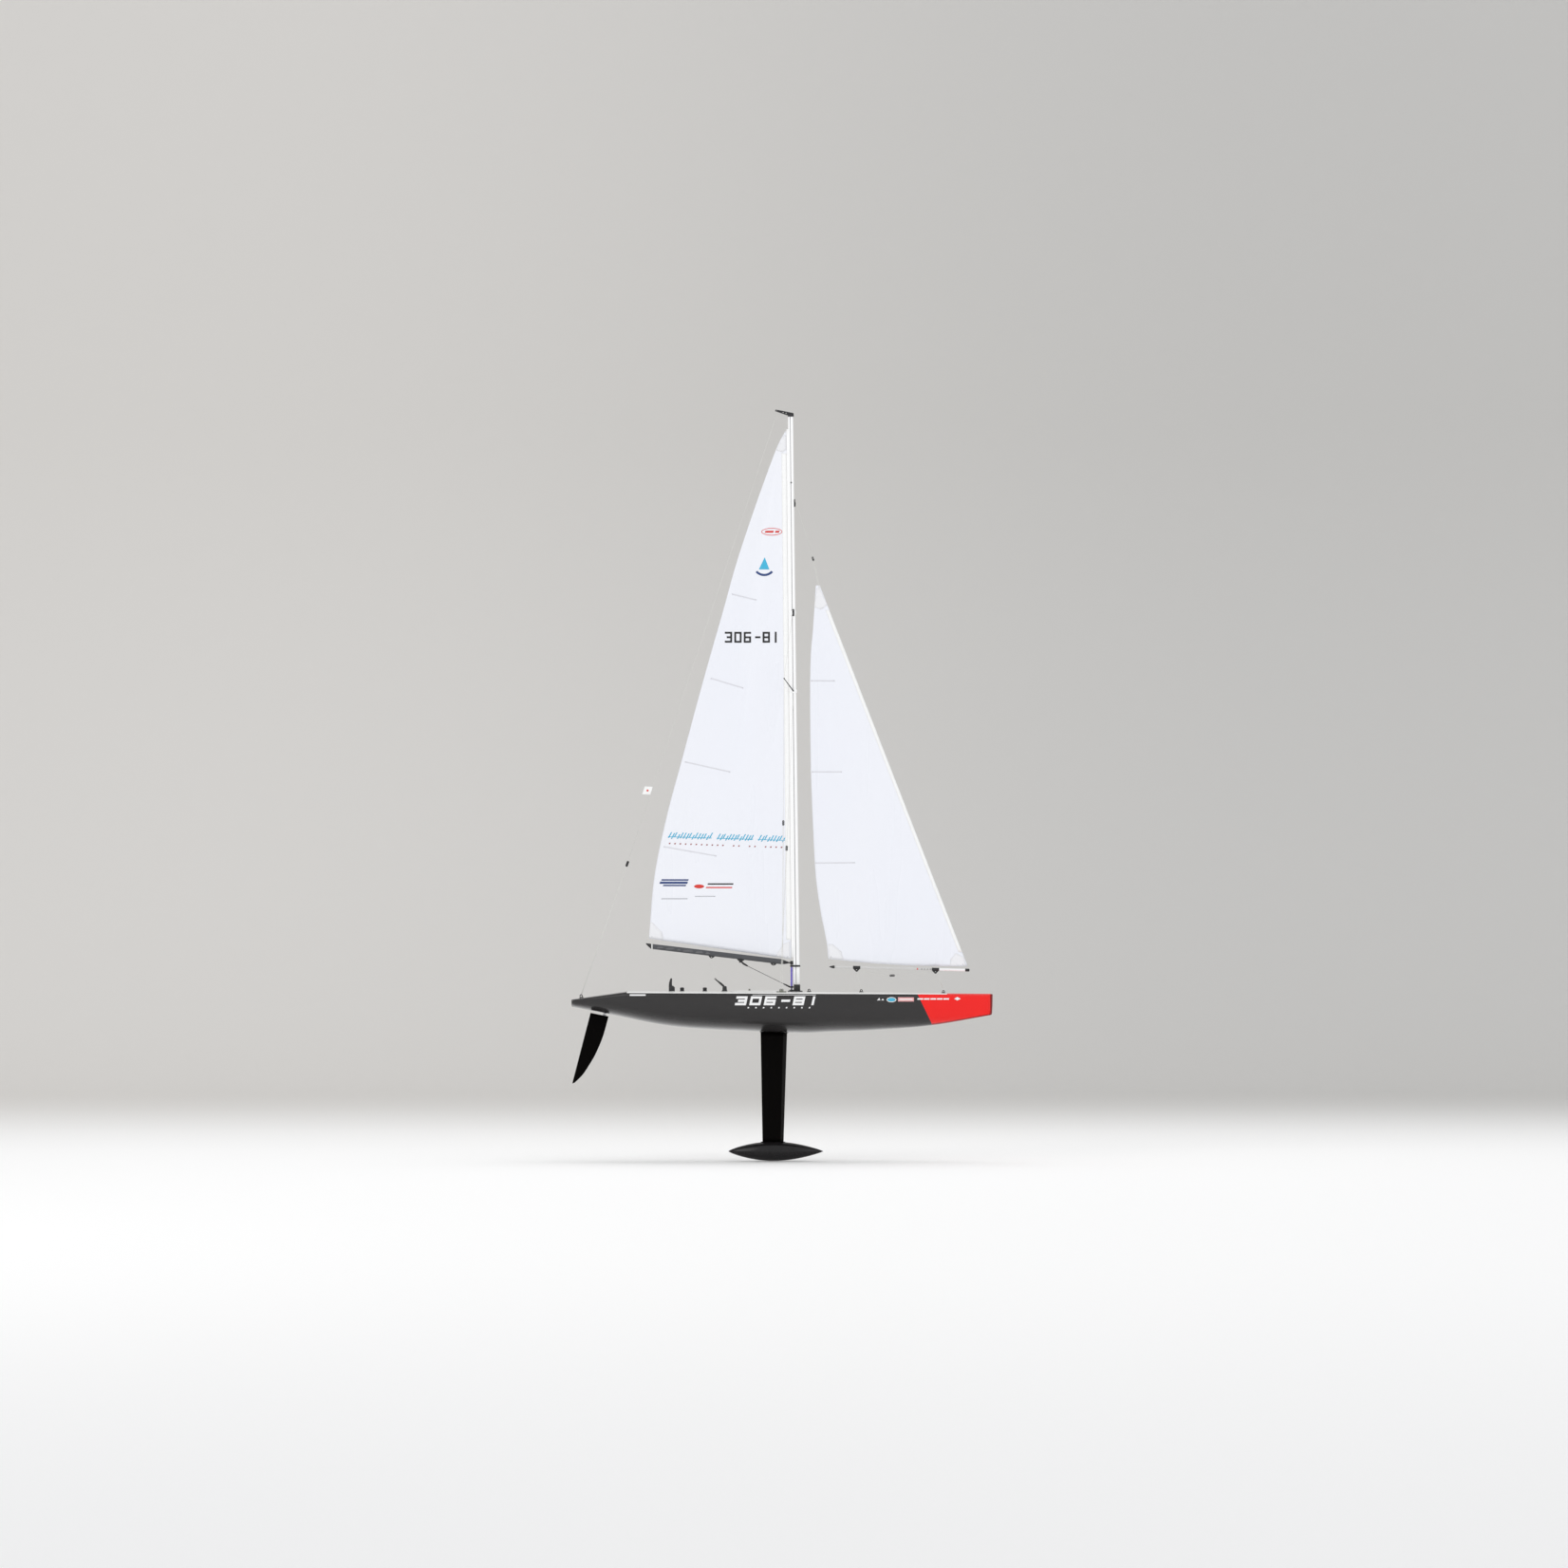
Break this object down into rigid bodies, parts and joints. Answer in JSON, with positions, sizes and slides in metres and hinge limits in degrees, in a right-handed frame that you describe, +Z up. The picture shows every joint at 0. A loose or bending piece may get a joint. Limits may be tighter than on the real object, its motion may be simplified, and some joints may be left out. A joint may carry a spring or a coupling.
{
  "type": "rc sailing yacht",
  "caption": "Radio-controlled racing sloop with a slim decked hull, fin keel and ballast bulb, steering rudder, stayed mast, and a mainsail and jib that swing on booms.",
  "frame": {"origin": "bottom of the hull on its centreline, over the middle of the keel, where water or a cradle bears it up", "axes": "+X forward to the bow, +Y to port, +Z up along the mast's height"},
  "size_m": [0.998, 0.2338, 1.7887],
  "materials": {
    "hull_graphite": "clear-coated gloss, red at the bow",
    "deck_white": "satin gloss",
    "bumper_rubber": "soft matt",
    "foil_black": "polished gloss",
    "ballast_cast": "satin black paint over a casting",
    "black_nylon": "moulded, fine grain",
    "grey_nylon": "moulded, fine grain",
    "white_moulding": "moulded",
    "stainless": "drawn",
    "mast_alloy": "satin anodised",
    "jib_boom_alloy": "satin anodised",
    "boom_grey": "dark grey anodised",
    "violet_anodised": "violet anodised",
    "sail_film": "white film with a soft sheen",
    "flag_cloth": "woven",
    "rigging_cord": "braided",
    "tray_ply": "sealed plywood",
    "blue_case": "moulded"
  },
  "bodies": {
    "hull": {"hull_shell": "hull_graphite", "bow_bumper": "bumper_rubber", "deck": "deck_white", "keel_fin": "foil_black", "ballast_bulb": "ballast_cast", "keel_trunk": "white_moulding", "keel_bolt": "stainless", "rudder_tube": "stainless", "rudder_servo": "black_nylon", "equipment_tray": "tray_ply", "winch_servo": "black_nylon", "receiver": "blue_case", "battery_pack": "blue_case", "power_switch": "black_nylon", "mast_step": "black_nylon", "mast_post": "mast_alloy", "mast": "mast_alloy", "gooseneck_rod": "violet_anodised", "mast_collar": "black_nylon", "masthead_crane": "black_nylon", "forestay_hook": "black_nylon", "shroud_tang": "black_nylon", "spreaders": "black_nylon", "chainplate_port": "grey_nylon", "upper_shroud_port": "rigging_cord", "lower_shroud_port": "rigging_cord", "chainplate_starboard": "grey_nylon", "upper_shroud_starboard": "rigging_cord", "lower_shroud_starboard": "rigging_cord", "backstay": "rigging_cord", "flag": "flag_cloth", "stern_eye": "black_nylon", "fore_deck_eye": "black_nylon", "jib_sheet_eye": "black_nylon", "jib_eye": "black_nylon", "deck_winch_aft": "black_nylon", "deck_winch_fore": "black_nylon", "aerial_post": "black_nylon", "sheet_guide": "black_nylon"},
    "rudder": {"rudder": "foil_black", "tiller_arm": "black_nylon"},
    "pushrod": {"pushrod": "stainless"},
    "servo_horn": {"servo_horn": "white_moulding"},
    "winch_drum": {"winch_drum": "white_moulding"},
    "hatch": {"hatch_cover": "deck_white", "hatch_knob": "grey_nylon"},
    "switch_slider": {"switch_slider": "white_moulding"},
    "backstay_bowsie": {"backstay_bowsie": "black_nylon"},
    "main_boom": {"main_boom": "boom_grey", "boom_end_cap": "black_nylon", "gooseneck": "black_nylon", "vang": "black_nylon", "mainsail": "sail_film", "mainsheet": "rigging_cord"},
    "jib": {"jib_boom": "jib_boom_alloy", "jib_swivel_line": "rigging_cord", "jib_sheet": "rigging_cord", "jib_halyard": "rigging_cord", "jib_sail": "sail_film"}
  },
  "joints": [
    {"name": "rudder_turn", "type": "hinge", "parent": "hull", "child": "rudder", "pos_m": [-0.402, 0, 0.0406], "axis": [0.2501, 0, 0.9682], "range_deg": [-35, 35]},
    {"name": "pushrod_pivot", "type": "hinge", "parent": "rudder", "child": "pushrod", "pos_m": [-0.39425, 0.017, 0.07061], "axis": [0.2501, 0, 0.9682], "range_deg": [-35, 35]},
    {"name": "servo_horn_turn", "type": "hinge", "parent": "hull", "child": "servo_horn", "pos_m": [-0.15, 0, 0.066], "axis": [0.2501, 0, 0.9682], "range_deg": [-35, 35]},
    {"name": "winch_drum_turn", "type": "hinge", "parent": "hull", "child": "winch_drum", "pos_m": [-0.084, 0, 0.07], "axis": [0, 0, 1], "range_deg": [0, 1080]},
    {"name": "hatch_lift", "type": "slide", "parent": "hull", "child": "hatch", "axis": [0, 0, 1], "range_m": [0, 0.012]},
    {"name": "switch_slide", "type": "slide", "parent": "hull", "child": "switch_slider", "axis": [1, 0, 0], "range_m": [0, 0.007]},
    {"name": "backstay_bowsie_slide", "type": "slide", "parent": "hull", "child": "backstay_bowsie", "axis": [0.3311, 0, 0.9436], "range_m": [-0.01, 0.01]},
    {"name": "main_boom_swing", "type": "hinge", "parent": "hull", "child": "main_boom", "pos_m": [0.04171, 0, 0.16], "axis": [-0.0096, 0, 1], "range_deg": [-60, 60], "deforming": ["mainsheet"]},
    {"name": "jib_boom_swing", "type": "hinge", "parent": "hull", "child": "jib", "pos_m": [0.4027, 0, 0.0925], "axis": [-0.2872, 0, 0.9579], "range_deg": [-60, 60], "deforming": ["jib_sheet"]}
  ],
  "couplings": [
    {"joint": "pushrod_pivot", "follows": "rudder_turn", "ratio": -1},
    {"joint": "servo_horn_turn", "follows": "rudder_turn", "ratio": 1},
    {"joint": "jib_boom_swing", "follows": "main_boom_swing", "ratio": 1}
  ]
}
